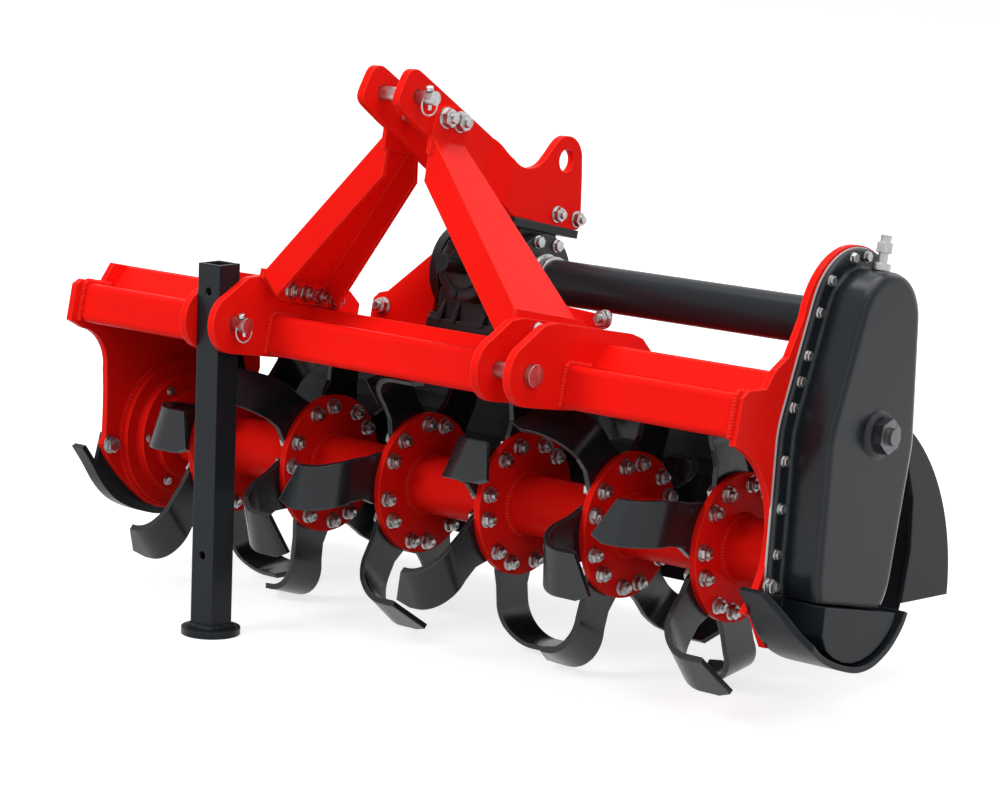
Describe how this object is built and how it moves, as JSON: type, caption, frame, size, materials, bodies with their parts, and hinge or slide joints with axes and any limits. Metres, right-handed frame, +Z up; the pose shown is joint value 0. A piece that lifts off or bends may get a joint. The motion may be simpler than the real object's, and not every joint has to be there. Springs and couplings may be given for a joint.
{
  "type": "rotary tiller",
  "caption": "Tractor-mounted rotary tiller with a tined rotor under a hood, chain-case drive, three-point hitch, hinged tailgate and parking leg.",
  "frame": {"origin": "on the floor under the middle of the bounding box, the tiller parked on its tines and leg", "axes": "+X across the machine toward the chain case, +Y rearward, +Z up"},
  "size_m": [1.368, 0.6718, 0.8484],
  "materials": {
    "red_paint": "gloss",
    "black_paint": "satin",
    "black_casting": "satin",
    "tine_black": "satin",
    "bright_steel": "zinc plated"
  },
  "bodies": {
    "frame": {"front_beam": "red_paint", "hood": "red_paint", "deck_rail_left": "red_paint", "deck_rail_right": "red_paint", "side_plate_left": "red_paint", "side_plate_right": "red_paint", "bearing_housing": "red_paint", "bearing_cap": "red_paint", "hitch_plates_left": "red_paint", "hitch_plates_right": "red_paint", "lower_pin_left": "bright_steel", "lower_pin_right": "bright_steel", "top_link_pin": "bright_steel", "mast_plate_left": "red_paint", "mast_plate_right": "red_paint", "strut_left": "red_paint", "strut_right": "red_paint", "gearbox_housing": "black_casting", "gearbox_bracket": "black_paint", "input_stub": "black_paint", "support_left": "red_paint", "support_right": "red_paint", "drive_tube": "black_paint", "drive_collar": "bright_steel", "chain_cover": "black_paint", "tensioner_nut": "black_paint", "filler_plug": "bright_steel", "skid_left": "black_paint", "skid_right": "black_paint", "hinge_rod": "bright_steel"},
    "rotor": {"rotor_shaft": "red_paint", "tines_1": "tine_black", "tines_2": "tine_black", "tines_3": "tine_black", "tines_4": "tine_black", "tines_5": "tine_black", "tines_6": "tine_black"},
    "tailgate": {"tailgate_sheet": "black_paint", "tailgate_inner": "black_paint", "tailgate_cheeks": "black_paint"},
    "stand": {"stand_leg": "black_paint", "stand_foot": "black_paint"}
  },
  "joints": [
    {"name": "rotor_spin", "type": "hinge", "parent": "frame", "child": "rotor", "pos_m": [-0.035, -0.01765, 0.216], "axis": [1, 0, 0], "continuous": true},
    {"name": "tailgate_hinge", "type": "hinge", "parent": "frame", "child": "tailgate", "pos_m": [-0.035, 0.1716, 0.39384], "axis": [1, 0, 0], "range_deg": [0, 60]},
    {"name": "stand_swing", "type": "hinge", "parent": "frame", "child": "stand", "pos_m": [-0.29, -0.29189, 0.46313], "axis": [-1, 0, 0], "range_deg": [-4, 50]}
  ]
}
